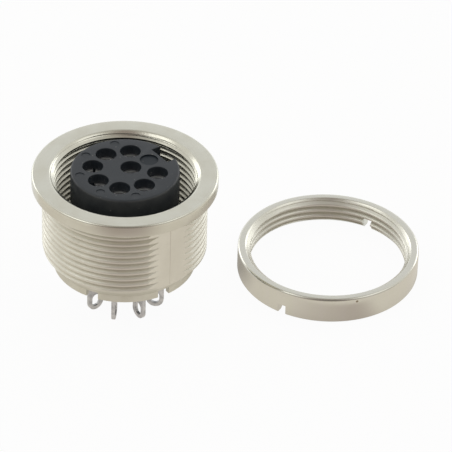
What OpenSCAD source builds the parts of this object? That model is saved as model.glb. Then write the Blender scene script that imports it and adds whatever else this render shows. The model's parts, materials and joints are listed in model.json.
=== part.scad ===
// Eight-pole screw-lock panel receptacle. A die-cast shell with a front flange is
// threaded outside for the panel nut and inside for the plug's coupling ring. It holds
// a moulded insert with rolled socket contacts, whose solder tags reach out behind.
// The slotted ring nut lies unscrewed beside it, on the plane of the tag tips.
// The origin is on the receptacle's axis, in the plane of the flange's panel side.
// +Z is the mating direction, +Y points to the insert's keyway and X crosses the flats.
// The panel thread and the nut's thread are cut as rings, one groove for each turn, between
// crests of full diameter. The coupling bore is plain, at its thread's inner diameter.

/* [Flange] */
// Width of the flange beyond the panel thread
flange_rim = 1.1; // [0.6:0.1:4]
// Thickness of the flange
flange_t = 1.5; // [1:0.1:3]
// Bevel on the flange's edges
flange_bevel = 0.2; // [0.05:0.05:0.4]

/* [Threads] */
// Pitch of the panel thread and of the coupling thread
thread_pitch = 0.75; // [0.5:0.05:0.85]
// Width of the flat on a thread's crest
thread_land = 0.26; // [0.1:0.02:0.4]
// Diameter over the crests of the panel thread
panel_thread_d = 17.8; // [17.5:0.1:18.6]
// Depth of the panel thread's grooves, which are softly cast
panel_groove = 0.26; // [0.1:0.02:0.36]
// Radial play between the panel thread and the nut
thread_play = 0.1; // [0.02:0.02:0.2]
// Length of the taper from the end of the panel thread down to the collar
taper_l = 1.6; // [0.6:0.1:2.4]
// Depth of the two flats below the crests of the panel thread
flat_depth = 0.5; // [0.2:0.05:0.7]
// Bevel at the mouth of the coupling thread
mouth_bevel = 0.55; // [0.2:0.05:0.7]
// Wall between the panel thread's crests and the coupling thread's roots
shell_wall = 0.9; // [0.7:0.05:1.1]

/* [Shell] */
// Depth of the shell behind the flange
shell_l = 10.1; // [8:0.1:16]
// Length of the plain collar behind the taper
collar_l = 0.85; // [0.5:0.05:2]
// Step from the crests of the panel thread down to the collar
collar_step = 1.2; // [0.9:0.1:1.4]
// Wall of the collar
collar_wall = 0.6; // [0.4:0.05:0.9]
// Bevel on the collar's rear edge
collar_bevel = 0.1; // [0.05:0.05:0.15]
// Thickness of the web that carries the insert
web_t = 1.2; // [0.6:0.1:2]
// Number of slots in the collar's rear edge
slot_count = 6; // [2:1:8]
// Width of a collar slot
slot_w = 1.4; // [0.8:0.1:2.5]
// Depth of a collar slot
slot_depth = 0.95; // [0.5:0.05:1.15]
// Turn of the slots from the flats
slot_turn = -2.5; // [-10:0.5:10]

/* [Insert] */
// Diameter of the insert's face
insert_d = 11.7; // [11:0.1:12]
// Height of the insert's face above the flange
insert_proud = 0.4; // [0:0.1:1]
// Bevel on the rim of the insert's face
insert_bevel = 0.25; // [0.05:0.05:0.4]
// Play between the insert and the shell
insert_play = 0.06; // [0.02:0.02:0.12]
// Thickness of the insert's rear flange, which seats behind the web
seat_t = 0.85; // [0.5:0.05:1.2]
// Height of the collar left open behind the insert
skirt_l = 1.15; // [0.8:0.05:2]
// Width of the keyway
keyway_w = 2.8; // [1.5:0.1:3.2]
// Depth of the keyway into the insert's side
keyway_depth = 1.3; // [0.6:0.1:1.5]
// Diameter of the shallow round recess beside the keyway
recess_d = 2; // [1:0.1:2.2]
// Gap between that recess and the keyway
recess_gap = 0.4; // [0.2:0.05:0.6]
// Depth of that recess
recess_depth = 0.15; // [0.05:0.05:0.4]

/* [Contacts] */
// Diameter of the circle that the outer contacts stand on
ring_d = 7; // [6.8:0.1:7.4]
// Number of equal places on that circle, of which the one at the keyway is empty
ring_places = 8; // [5:1:8]
// Distance of the inner contact from the axis, towards the keyway
centre_shift = 0.75; // [0:0.05:0.8]
// Thickness of the contacts' sheet metal
sheet_t = 0.36; // [0.2:0.02:0.38]
// Inside diameter of a rolled socket
socket_d = 1.45; // [1:0.05:1.5]
// Length of a rolled socket
socket_l = 6; // [4:0.1:6.2]
// Depth of a socket's mouth below the insert's face
contact_recess = 1.1; // [0.5:0.1:1.6]
// Width of the seam in a rolled socket
seam_w = 0.3; // [0.1:0.05:0.5]
// Play around a contact in the insert
contact_play = 0.04; // [0.02:0.01:0.08]
// Length of the neck where the sheet bends from the socket to the tag
neck_l = 0.8; // [0.4:0.1:1]
// Width of the neck
neck_w = 1.2; // [0.8:0.1:1.4]
// Width of the shoulders that seat in the insert
shoulder_w = 2.5; // [2.4:0.1:2.7]
// Length of the shoulders
shoulder_l = 1; // [0.5:0.1:1.2]
// Width of a solder tag
tag_w = 1.9; // [1.4:0.1:2.2]
// Reach of the tag tips behind the shell
tag_reach = 5.3; // [3:0.1:10]
// Distance of a tag's mid-plane from its socket's axis
tag_offset = 0.5; // [0.4:0.05:0.7]
// Width of the eye in a tag
eye_w = 1; // [0.5:0.05:1.1]
// Length of the eye
eye_l = 1.5; // [1.2:0.1:2.4]

/* [Ring nut] */
// Wall of the nut outside the crests of the panel thread
nut_wall = 1.1; // [0.8:0.1:4]
// Height of the nut
nut_h = 3.1; // [2:0.1:5]
// Bevel on the nut's outer edges
nut_bevel = 0.3; // [0.05:0.05:0.4]
// Bevel on the mouths of the nut's thread
nut_mouth_bevel = 0.5; // [0.05:0.05:0.6]
// Width of a spanner slot
nut_slot_w = 1; // [0.6:0.1:2]
// Depth of a spanner slot
nut_slot_depth = 1.2; // [0.4:0.1:1.5]
// Number of spanner slots
nut_slot_count = 2; // [2:1:6]
// Direction of the first spanner slot
nut_slot_bearing = 111.5; // [0:0.5:180]
// Distance between the axes of the nut and the receptacle
nut_spacing = 23.3; // [23:0.1:40]
// Direction from the receptacle to the nut
nut_bearing = 69; // [0:1:359]

/* [Hidden] */
$fn = 96;
over = 1;
// Share of a turn that makes up for rounding when whole turns are counted
rounding = 0.01;

// Radii of the threads: a 60 degree thread of this pitch engages over this depth
thread_depth = 0.5413 * thread_pitch;
panel_thread_r = panel_thread_d / 2;
panel_thread_l = shell_l - collar_l - taper_l;
nut_bore_r = panel_thread_r - thread_depth + thread_play;
nut_r = panel_thread_r + nut_wall;
flange_r = panel_thread_r + flange_rim;
flat_r = panel_thread_r - flat_depth;
coupling_bore_r = panel_thread_r - shell_wall - thread_depth;
mouth_r = coupling_bore_r + mouth_bevel;

// Levels of the shell and the insert, from front to rear
insert_face_z = flange_t + insert_proud;
insert_rear_z = skirt_l - shell_l;
web_rear_z = insert_rear_z + seat_t;
cavity_floor_z = web_rear_z + web_t;
shell_rear_z = -shell_l;
ground_z = shell_rear_z - tag_reach;

// Radii of the seats between the shell and the insert
collar_r = panel_thread_r - collar_step;
collar_bore_r = collar_r - collar_wall;
insert_r = insert_d / 2;
web_bore_r = insert_r + insert_play;
seat_r = collar_bore_r - insert_play;
recess_r = insert_r - keyway_depth - recess_gap - recess_d / 2;

// Levels and widths of a contact
ring_r = ring_d / 2;
contact_count = ring_places;
contact_pitch = 360 / ring_places;
socket_r = socket_d / 2;
barrel_r = socket_r + sheet_t;
contact_hole_r = barrel_r + contact_play;
contact_top_z = insert_face_z - contact_recess;
barrel_rear_z = contact_top_z - socket_l;
shoulder_z = barrel_rear_z - neck_l;
tag_round_z = ground_z + tag_w / 2;
keyway_bearing = 90;

// Points of a threaded wall: a crest at each end, and one groove for each whole turn between
function thread_points(crest_r, root_r, start, end) =
    let (
        way = sign(end - start),
        turns = floor(abs(end - start) / thread_pitch + rounding),
        first = (start + end - way * turns * thread_pitch) / 2,
        flank = way * (thread_pitch - thread_land) / 2
    )
    concat(
        [[crest_r, start]],
        [for (k = [0 : turns - 1])
            let (edge = first + way * (k * thread_pitch + thread_land / 2))
            each [[crest_r, edge], [root_r, edge + flank], [crest_r, edge + 2 * flank]]],
        [[crest_r, end]]
    );

// Half section of the shell, from the mouth outwards and round to the coupling bore
module shell_section() {
    polygon(concat(
        [
            [mouth_r, flange_t],
            [flange_r - flange_bevel, flange_t],
            [flange_r, flange_t - flange_bevel],
            [flange_r, flange_bevel],
            [flange_r - flange_bevel, 0]
        ],
        thread_points(panel_thread_r, panel_thread_r - panel_groove, 0, -panel_thread_l),
        [
            [collar_r, shell_rear_z + collar_l],
            [collar_r, shell_rear_z + collar_bevel],
            [collar_r - collar_bevel, shell_rear_z],
            [collar_bore_r, shell_rear_z],
            [collar_bore_r, web_rear_z],
            [web_bore_r, web_rear_z],
            [web_bore_r, cavity_floor_z],
            [coupling_bore_r, cavity_floor_z],
            [coupling_bore_r, flange_t - mouth_bevel]
        ]
    ));
}

// Flats on two sides of the panel thread and its taper, up to the flange
module thread_flats() {
    for (side = [0, 180])
        rotate([0, 0, side])
            translate([flat_r, -flange_r, shell_rear_z])
                cube([flange_r, 2 * flange_r, shell_l]);
}

// Slots in the collar's rear edge, the first beside the middle of a flat
module collar_slots() {
    for (k = [0 : slot_count - 1])
        rotate([0, 0, slot_turn + k * 360 / slot_count])
            translate([collar_bore_r - over, -slot_w / 2, shell_rear_z - over])
                cube([flange_r, slot_w, slot_depth + over]);
}

module shell() {
    color([0.74, 0.71, 0.65])
        difference() {
            rotate_extrude() shell_section();
            thread_flats();
            collar_slots();
        }
}

// Moves its children to a contact's axis, with X away from the receptacle's axis
module at_contact(k) {
    inner = k == contact_count;
    bearing = inner ? keyway_bearing : keyway_bearing + k * contact_pitch;
    rotate([0, 0, bearing])
        translate([inner ? centre_shift : ring_r, 0, 0])
            children();
}

// Half section of the insert: the round body that the plug slides over, and its seat
module insert_section() {
    polygon([
        [0, insert_face_z],
        [insert_r - insert_bevel, insert_face_z],
        [insert_r, insert_face_z - insert_bevel],
        [insert_r, web_rear_z],
        [seat_r, web_rear_z],
        [seat_r, insert_rear_z],
        [0, insert_rear_z]
    ]);
}

// Room for one contact: a round hole right through, and behind it a slot for the tag
module contact_room() {
    slot_width = shoulder_w + 2 * contact_play;
    slot_thick = sheet_t + 2 * contact_play;
    translate([0, 0, insert_rear_z - over])
        cylinder(r = contact_hole_r, h = insert_face_z - insert_rear_z + 2 * over);
    translate([-slot_width / 2, -tag_offset - slot_thick / 2, insert_rear_z - over])
        cube([slot_width, slot_thick, shoulder_z - insert_rear_z + over]);
}

// Keyway down the side of the insert, as deep as the coupling cavity
module keyway() {
    rotate([0, 0, keyway_bearing])
        translate([insert_r - keyway_depth, -keyway_w / 2, cavity_floor_z])
            cube([keyway_depth + over, keyway_w, insert_face_z - cavity_floor_z + over]);
}

module face_recess() {
    rotate([0, 0, keyway_bearing])
        translate([recess_r, 0, insert_face_z - recess_depth])
            cylinder(d = recess_d, h = recess_depth + over);
}

module insert() {
    color([0.22, 0.23, 0.25])
        difference() {
            rotate_extrude() insert_section();
            for (k = [1 : contact_count]) at_contact(k) contact_room();
            keyway();
            face_recess();
        }
}

// Socket rolled from sheet, with its seam above the neck
module rolled_socket() {
    translate([0, 0, barrel_rear_z])
        difference() {
            cylinder(r = barrel_r, h = socket_l);
            translate([0, 0, -over]) cylinder(r = socket_r, h = socket_l + 2 * over);
            translate([-seam_w / 2, -barrel_r - over, -over])
                cube([seam_w, barrel_r + over, socket_l + 2 * over]);
        }
}

// Sheet that bends from the socket's wall to the plane of the tag
module neck() {
    near = sheet_t / 2 - tag_offset;
    far = near - sheet_t;
    intersection() {
        translate([-neck_w / 2, 0, 0])
            rotate([90, 0, 90])
                linear_extrude(neck_w)
                    polygon([
                        [-socket_r, barrel_rear_z + sheet_t],
                        [-barrel_r, barrel_rear_z + sheet_t],
                        [-barrel_r, barrel_rear_z],
                        [far, shoulder_z],
                        [far, shoulder_z - sheet_t],
                        [near, shoulder_z - sheet_t],
                        [near, shoulder_z],
                        [-socket_r, barrel_rear_z]
                    ]);
        translate([0, 0, shoulder_z - over])
            cylinder(r = barrel_r, h = neck_l + 2 * over);
    }
}

// Outline of the flat sheet: shoulders, strip, round end and the eye for the wire
module tag_outline() {
    eye_rise = eye_l - eye_w;
    difference() {
        union() {
            translate([-shoulder_w / 2, shoulder_z - shoulder_l]) square([shoulder_w, shoulder_l]);
            translate([-tag_w / 2, tag_round_z]) square([tag_w, shoulder_z - tag_round_z]);
            translate([0, tag_round_z]) circle(d = tag_w);
        }
        translate([-eye_w / 2, tag_round_z]) square([eye_w, eye_rise]);
        for (rise = [0, eye_rise]) translate([0, tag_round_z + rise]) circle(d = eye_w);
    }
}

module solder_tag() {
    translate([0, sheet_t / 2 - tag_offset, 0])
        rotate([90, 0, 0])
            linear_extrude(sheet_t) tag_outline();
}

module contact(k) {
    color([0.62, 0.62, 0.61])
        at_contact(k) {
            rolled_socket();
            neck();
            solder_tag();
        }
}

// Half section of the nut, standing on its lower face
module nut_section() {
    polygon(concat(
        [
            [nut_bore_r + nut_mouth_bevel, 0],
            [nut_r - nut_bevel, 0],
            [nut_r, nut_bevel],
            [nut_r, nut_h - nut_bevel],
            [nut_r - nut_bevel, nut_h],
            [nut_bore_r + nut_mouth_bevel, nut_h]
        ],
        thread_points(nut_bore_r, nut_bore_r + thread_depth, nut_h - nut_mouth_bevel, nut_mouth_bevel)
    ));
}

module spanner_slots() {
    for (k = [0 : nut_slot_count - 1])
        rotate([0, 0, nut_slot_bearing + k * 360 / nut_slot_count])
            translate([nut_bore_r - over, -nut_slot_w / 2, -over])
                cube([nut_r, nut_slot_w, nut_slot_depth + over]);
}

module ring_nut() {
    color([0.76, 0.74, 0.69])
        translate([nut_spacing * cos(nut_bearing), nut_spacing * sin(nut_bearing), ground_z])
            difference() {
                rotate_extrude() nut_section();
                spanner_slots();
            }
}

shell();
insert();
for (k = [1 : contact_count])
    contact(k);
ring_nut();
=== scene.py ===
"""Dresses the panel receptacle: threads, plating, insert, contacts, ring nut and a white studio."""

import json
import math

import bmesh
import bpy
from bpy.props import FloatProperty, FloatVectorProperty, IntProperty, PointerProperty
from bpy.types import Operator, Panel, PropertyGroup
from mathutils import Matrix, Vector


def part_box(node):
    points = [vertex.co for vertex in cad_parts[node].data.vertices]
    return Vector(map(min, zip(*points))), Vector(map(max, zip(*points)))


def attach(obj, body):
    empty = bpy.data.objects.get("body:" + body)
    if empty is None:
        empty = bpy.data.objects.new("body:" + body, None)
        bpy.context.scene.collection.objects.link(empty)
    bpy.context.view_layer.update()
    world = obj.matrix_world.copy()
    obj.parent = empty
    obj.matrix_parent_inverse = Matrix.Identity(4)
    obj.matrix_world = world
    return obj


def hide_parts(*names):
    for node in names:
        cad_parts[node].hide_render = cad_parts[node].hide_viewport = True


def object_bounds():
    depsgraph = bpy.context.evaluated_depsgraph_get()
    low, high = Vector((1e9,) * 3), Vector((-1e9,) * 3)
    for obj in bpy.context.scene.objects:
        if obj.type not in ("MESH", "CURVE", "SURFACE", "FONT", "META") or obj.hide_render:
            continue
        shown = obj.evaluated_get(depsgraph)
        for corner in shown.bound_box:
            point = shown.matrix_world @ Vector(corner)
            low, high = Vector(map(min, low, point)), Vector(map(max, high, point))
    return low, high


bl_info = {
    "name": "Panel Receptacle",
    "version": (1, 0, 0),
    "blender": (4, 5, 0),
    "location": "View3D > Sidebar > Receptacle",
    "description": "Dresses a screw-lock panel receptacle and its ring nut",
    "category": "Object",
}

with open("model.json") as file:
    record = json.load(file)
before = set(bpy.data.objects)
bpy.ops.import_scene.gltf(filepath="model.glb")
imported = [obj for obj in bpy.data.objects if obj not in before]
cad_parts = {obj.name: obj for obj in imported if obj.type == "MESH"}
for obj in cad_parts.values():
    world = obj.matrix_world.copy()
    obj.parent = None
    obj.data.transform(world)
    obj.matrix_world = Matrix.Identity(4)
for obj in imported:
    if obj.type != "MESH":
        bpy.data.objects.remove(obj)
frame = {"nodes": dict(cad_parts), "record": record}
CAD_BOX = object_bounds()

MM = 0.001
BODY = "root"
ORIGIN = (0.0, 0.0, 0.0)
KEY_BEARING = math.pi / 2

# Places and radii that the packed model gives
MOUNTS = {mount["name"]: mount for mount in frame["record"]["mounts"]}
SHELL_LOW, SHELL_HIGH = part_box("shell")
INSERT_LOW, INSERT_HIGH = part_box("insert")
NUT_LOW, NUT_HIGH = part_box("ring_nut")
CONTACTS = sorted(name for name in frame["nodes"] if name.startswith("contact_"))
SOCKETS = {name: Vector(MOUNTS[name.replace("contact", "socket")]["pos_m"]) for name in CONTACTS}
NUT_AXIS = (NUT_LOW + NUT_HIGH) / 2
GROUND_Z = CAD_BOX[0].z

# How finely the pieces are drawn
TURN_COLUMNS = 192
THREAD_ROWS = 14
HOLE_SIDES = 48
ARC_STEPS = 4
OVERCUT = 1 * MM
MERGE = 0.001 * MM
WELD = MERGE / 10
FACET_ANGLE = math.radians(1)
SHARP_ANGLE = math.radians(33)
PLAIN_ROW = {"ridge": 0.0, "turn": 0.0, "lead": 0.0}
ROW_VALUES = ("ridge", "turn", "lead", "low", "high")


def mount_radius(name):
    return MOUNTS[name]["dims"]["r_mm"] * MM


def size(name, description, millimetres):
    """A length that the sidebar shows, given in millimetres."""
    return FloatProperty(
        name=name, description=description, default=millimetres * MM,
        subtype="DISTANCE", unit="LENGTH", precision=5,
    )


def level(name, description, metres):
    """A length or level that the packed model gives in metres."""
    return size(name, description, metres / MM)


def angle(name, description, degrees):
    return FloatProperty(
        name=name, description=description, default=math.radians(degrees), subtype="ANGLE", unit="ROTATION",
    )


def share(name, description, value):
    return FloatProperty(name=name, description=description, default=value, min=0, max=1, subtype="FACTOR")


def number(name, description, value):
    return IntProperty(name=name, description=description, default=value, min=1)


def watts(name, description, value):
    return FloatProperty(name=name, description=description, default=value, min=0, unit="POWER")


def tint(name, description, colour):
    return FloatVectorProperty(
        name=name, description=description, default=colour, size=3, min=0, max=1, subtype="COLOR",
    )


class ThreadSizes(PropertyGroup):
    """Form of the fine threads. The panel thread has a depth of its own."""

    pitch: size("Pitch", "Rise of a thread in one turn", 0.75)
    depth: size("Depth", "Height of a ridge from root to crest", 0.38)
    crest: share("Crest", "Share of half a pitch that a crest stays full", 0.27)
    flank: share("Flank", "Share of half a pitch at which a flank has reached the root", 0.9)


class ShellSizes(PropertyGroup):
    """Sizes of the die-cast shell."""

    flange_r: level("Flange radius", "Outside radius of the flange", SHELL_HIGH.y)
    top_z: level("Flange top", "Level of the flange's front", SHELL_HIGH.z)
    rear_z: level("Rear", "Level of the collar's rear edge", SHELL_LOW.z)
    crest_r: level("Crest radius", "Radius over the panel thread's crests", mount_radius("panel_thread"))
    bore_r: level("Coupling bore", "Radius inside its thread's crests", mount_radius("coupling_thread"))
    edge: size("Flange edge", "Rounding of the flange's edges", 0.25)
    mouth: size("Mouth", "Width of the bevel at the mouth of the coupling thread", 0.55)
    mouth_tilt: angle("Mouth tilt", "Upward tilt of that bevel", 51)
    lip: size("Lip", "Rounding of that bevel's outer edge", 0.5)
    panel_depth: size("Panel thread depth", "Height of the panel thread's softly cast ridges", 0.36)
    panel_start: angle("Panel start", "Angle at which the panel thread starts", 82)
    coupling_start: angle("Coupling start", "Angle at which the coupling thread starts", 168)
    thread_rear_z: size("Thread end", "Level where the panel thread runs out into the taper", -8)
    taper_z: size("Taper end", "Level where the taper reaches the collar", -9.25)
    collar_r: size("Collar radius", "Outside radius of the rear collar", 7.7)
    collar_bore_r: size("Collar bore", "Radius inside the rear collar", 7.1)
    collar_edge: size("Collar edge", "Rounding of the collar's rear edge", 0.1)
    web_rear_z: size("Web rear", "Level of the web's rear side", -8.1)
    web_bore_r: size("Web bore", "Radius of the hole in the web", 5.91)
    cavity_z: size("Cavity floor", "Level of the coupling cavity's floor", -6.9)
    flats: number("Flats", "Number of flats on the panel thread", 2)
    flat: size("Flat", "Distance of the flats from the axis", 8.4)
    seam_w: size("Parting line width", "Width of the casting's parting line on a flat", 0.22)
    seam_h: size("Parting line height", "Height of that line above the flat", 0.035)
    slots: number("Slots", "Number of slots in the collar", 6)
    slot_w: size("Slot width", "Width of a collar slot", 1.4)
    slot_depth: size("Slot depth", "Depth of a collar slot", 0.95)
    slot_turn: angle("Slot turn", "Turn of the slots from the flats", -2.5)


class InsertSizes(PropertyGroup):
    """Sizes of the moulded insert and of its dimples."""

    face_z: level("Face", "Level of the insert's face", INSERT_HIGH.z)
    rear_z: level("Rear", "Level of the insert's rear", INSERT_LOW.z)
    seat_r: level("Seat radius", "Radius of the rear flange that seats behind the web", INSERT_HIGH.x)
    seat_z: size("Seat", "Level of that flange's front", -8.1)
    body_r: size("Body radius", "Radius of the body that the plug slides over", 5.85)
    rim: size("Rim", "Rounding of the face's rim", 0.25)
    hole_r: size("Hole radius", "Radius of a contact hole", 1.125)
    hole_lip: size("Hole lip", "Rounding of a contact hole's edge", 0.06)
    slot_w: size("Tag slot width", "Width of the slot behind each contact", 2.58)
    slot_t: size("Tag slot thickness", "Thickness of that slot", 0.44)
    slot_z: size("Tag slot end", "Level where that slot ends", -6)
    tag_offset: size("Tag offset", "Distance of a tag's mid-plane from its socket's axis", 0.5)
    key_w: size("Keyway width", "Width of the keyway", 2.8)
    key_depth: size("Keyway depth", "Depth of the keyway into the side", 1.3)
    key_lip: size("Keyway lip", "Bevel round the keyway's mouth", 0.06)
    key_floor_z: size("Keyway floor", "Level where the keyway ends", -6.9)
    recess_r: size("Recess radius", "Radius of the shallow recess beside the keyway", 1)
    recess_place: size("Recess place", "Distance of that recess from the axis", 3.15)
    recess_depth: size("Recess depth", "Depth of that recess", 0.15)
    dimple_r: size("Dimple radius", "Radius of a moulding dimple between two contacts", 0.5)
    dimple_place: size("Dimple place", "Distance of the dimples from the axis", 4.95)
    dimple_depth: size("Dimple depth", "Depth of a dimple", 0.06)
    dimple_count: number("Dimples", "Number of dimples, opposite the keyway", 5)


class ContactSizes(PropertyGroup):
    """Finish of the rolled contacts."""

    edge: size("Edge", "Rounding of the sheet's edges", 0.16)


class NutSizes(PropertyGroup):
    """Sizes of the ring nut."""

    outer_r: level("Radius", "Outside radius", (NUT_HIGH.x - NUT_LOW.x) / 2)
    height: level("Height", "Height of the nut", NUT_HIGH.z - NUT_LOW.z)
    bore_r: level("Bore", "Radius inside the thread's crests", mount_radius("ring_nut_thread"))
    edge: size("Edge", "Rounding of the outer edges", 0.3)
    mouth: size("Mouth", "Width of the bevels at the thread's mouths", 0.6)
    mouth_tilt: angle("Mouth tilt", "Upward tilt of the bevels", 47)
    lip: size("Lip", "Rounding of those bevels' outer edges", 0.25)
    thread_start: angle("Thread start", "Turn of the thread about the axis", 60)
    slots: number("Slots", "Number of spanner slots", 2)
    slot_w: size("Slot width", "Width of a spanner slot", 1)
    slot_depth: size("Slot depth", "Depth of a spanner slot", 1.2)
    slot_bearing: angle("Slot bearing", "Direction of the first spanner slot", 111.5)
    stain_bearing: angle("Stain bearing", "Direction of the speck on the outside", -20)
    stain_height: size("Stain height", "Height of that speck", 2.64)
    stain_r: size("Stain radius", "Radius of that speck", 0.2)


class Finishes(PropertyGroup):
    """Colours of the finishes."""

    nickel: tint("Nickel", "Plating of the shell", (0.695, 0.692, 0.613))
    nickel_warm: tint("Warm nickel", "Plating where it is thinner", (0.66, 0.65, 0.565))
    # Painted light: a paler copy of the same nickel, which makes the panel thread render lighter than the
    # rest of the shell.
    nickel_painted_lighter: tint("Pale nickel", "Plating of the panel thread", (0.772, 0.76, 0.682))
    nut_nickel: tint("Nut nickel", "Plating of the ring nut", (0.7, 0.69, 0.63))
    tin: tint("Tin", "Plating of the contacts", (0.745, 0.752, 0.755))
    tin_dull: tint("Dull tin", "Plating where it has gone dull", (0.56, 0.57, 0.58))
    plastic: tint("Plastic", "Colour of the insert", (0.008, 0.0135, 0.0205))
    plastic_pale: tint("Pale plastic", "Colour of the insert where it is rubbed", (0.0118, 0.0182, 0.0255))
    dust: tint("Dust", "Colour of the dust on the insert", (0.16, 0.16, 0.15))
    stain: tint("Stain", "Speck on the ring nut", (0.26, 0.21, 0.15))


class StageSettings(PropertyGroup):
    """Camera and studio."""

    lens: FloatProperty(
        name="Lens", description="Focal length in millimetres", default=290.7, unit="CAMERA",
    )
    distance: size("Distance", "Distance of the camera from the flange's centre", 389.7)
    bearing: angle("Bearing", "Turn of the camera about the receptacle's axis", 54)
    elevation: angle("Elevation", "Height of the camera as an angle", 34.94)
    yaw: angle("Yaw", "Turn of the camera to the right of the axis", 1.96)
    pitch: angle("Pitch", "Tilt of the camera below the horizon", 35.75)
    roll: angle("Roll", "Turn of the camera about its line of sight", 1.66)
    floor_w: size("Floor", "Width of the floor", 4000)
    back_light: tint("Back light", "Light of the surroundings behind", (0.82, 0.82, 0.82))
    side_light: tint("Side light", "Light of the surroundings at the sides", (0.8, 0.785, 0.75))
    low_light: tint("Low light", "Light of the surroundings low at the sides", (0.52, 0.5, 0.47))
    top_light: tint("Top light", "Light of the surroundings overhead", (0.45, 0.43, 0.4))
    front_light: tint("Front light", "Light of the surroundings in front", (0.345, 0.292, 0.268))
    lens_light: tint("Lens light", "Light of the surroundings close to the camera", (0.2, 0.19, 0.175))
    # Painted shade: the floor's colours as the metal reflects it, lighter at the sides than in front.
    side_floor: tint("Side floor", "Floor at the sides, as the metal reflects it", (0.83, 0.777, 0.708))
    near_floor: tint("Near floor", "Floor close in front, as the metal reflects it", (0.8, 0.745, 0.69))
    front_floor: tint("Front floor", "Floor further in front, as the metal reflects it", (0.47, 0.398, 0.37))
    matt_floor: tint("Matt floor", "Floor where it takes the shadow", (0.85, 0.85, 0.85))
    glow: share("Glow", "Share of the floor's own white against its shadow", 0.95)
    # Painted shadow on the floor as the metal reflects it: near the part, and between the receptacle and the
    # ring nut.
    shade: share("Shade", "Light left on the floor close to the part, as the metal reflects it", 0.85)
    shade_reach: size("Shade reach", "How far that shade reaches from the part", 10)
    between: share("Between", "Light left on the floor between the receptacle and the ring nut", 0.55)
    between_turn: angle("Between turn", "Turn of that shade from the line between their axes", 16)
    between_way: share("Between way", "Share of that line at which the shade lies", 0.58)
    lamp_w: size("Lamp width", "Width of a soft box", 300)
    left_power: watts("Left power", "Power of the left soft box", 0.24)
    right_power: watts("Right power", "Power of the right soft box", 0.12)
    back_power: watts("Back power", "Power of each low soft box behind", 0.31)


# Node trees

class NodeSheet:
    """A node tree, with short calls to add nodes to it and to join them."""

    def __init__(self, tree):
        self.tree = tree

    def put(self, socket, value):
        """Joins a socket or sets a plain value on an input. None leaves the input alone."""
        if isinstance(value, bpy.types.NodeSocket):
            self.tree.links.new(value, socket)
        elif value is not None:
            socket.default_value = value

    def add(self, kind, *values, **settings):
        """Adds a node. The values go to its enabled inputs in order."""
        node = self.tree.nodes.new(kind)
        for name, value in settings.items():
            setattr(node, name, value)
        for socket, value in zip([s for s in node.inputs if s.enabled], values):
            self.put(socket, value)
        return node

    def out(self, kind, *values, **settings):
        """Adds a node and gives its first enabled output."""
        node = self.add(kind, *values, **settings)
        return next(s for s in node.outputs if s.enabled)

    def math(self, operation, *values):
        return self.out("ShaderNodeMath", *values, operation=operation)

    def vector(self, operation, *values):
        return self.out("ShaderNodeVectorMath", *values, operation=operation)

    def flat(self, vector):
        """Level part of a vector."""
        return self.vector("MULTIPLY", vector, (1.0, 1.0, 0.0))

    def noise(self, vector, scale, detail=2.0, roughness=0.5):
        return self.out("ShaderNodeTexNoise", vector, scale, detail, roughness)

    def ramp(self, value, low, high, at_low=0.0, at_high=1.0, soft=False):
        """Maps a value from low..high to at_low..at_high and holds it outside that range."""
        kind = "SMOOTHSTEP" if soft else "LINEAR"
        return self.out("ShaderNodeMapRange", value, low, high, at_low, at_high, interpolation_type=kind)

    def blend(self, factor, first, second):
        """Mixes two colours."""
        return self.out("ShaderNodeMix", factor, first, second, data_type="RGBA")


def new_tree(kind, name, inputs, outputs):
    """Makes a node tree with named sockets and gives its sheet, its inputs and its output node."""
    tree = bpy.data.node_groups.new(name, kind)
    for socket_name, socket_type, default in inputs:
        socket = tree.interface.new_socket(socket_name, in_out="INPUT", socket_type=socket_type)
        if default is not None:
            socket.default_value = default
    for socket_name, socket_type in outputs:
        tree.interface.new_socket(socket_name, in_out="OUTPUT", socket_type=socket_type)
    sheet = NodeSheet(tree)
    return sheet, sheet.add("NodeGroupInput").outputs, sheet.add("NodeGroupOutput").inputs


def finish_tree(sheet, geometry, material, result):
    """Ends a geometry tree with real geometry and its material."""
    realised = sheet.out("GeometryNodeRealizeInstances", geometry)
    sheet.put(result[0], sheet.out("GeometryNodeSetMaterial", realised, None, material))
    return sheet.tree


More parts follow.
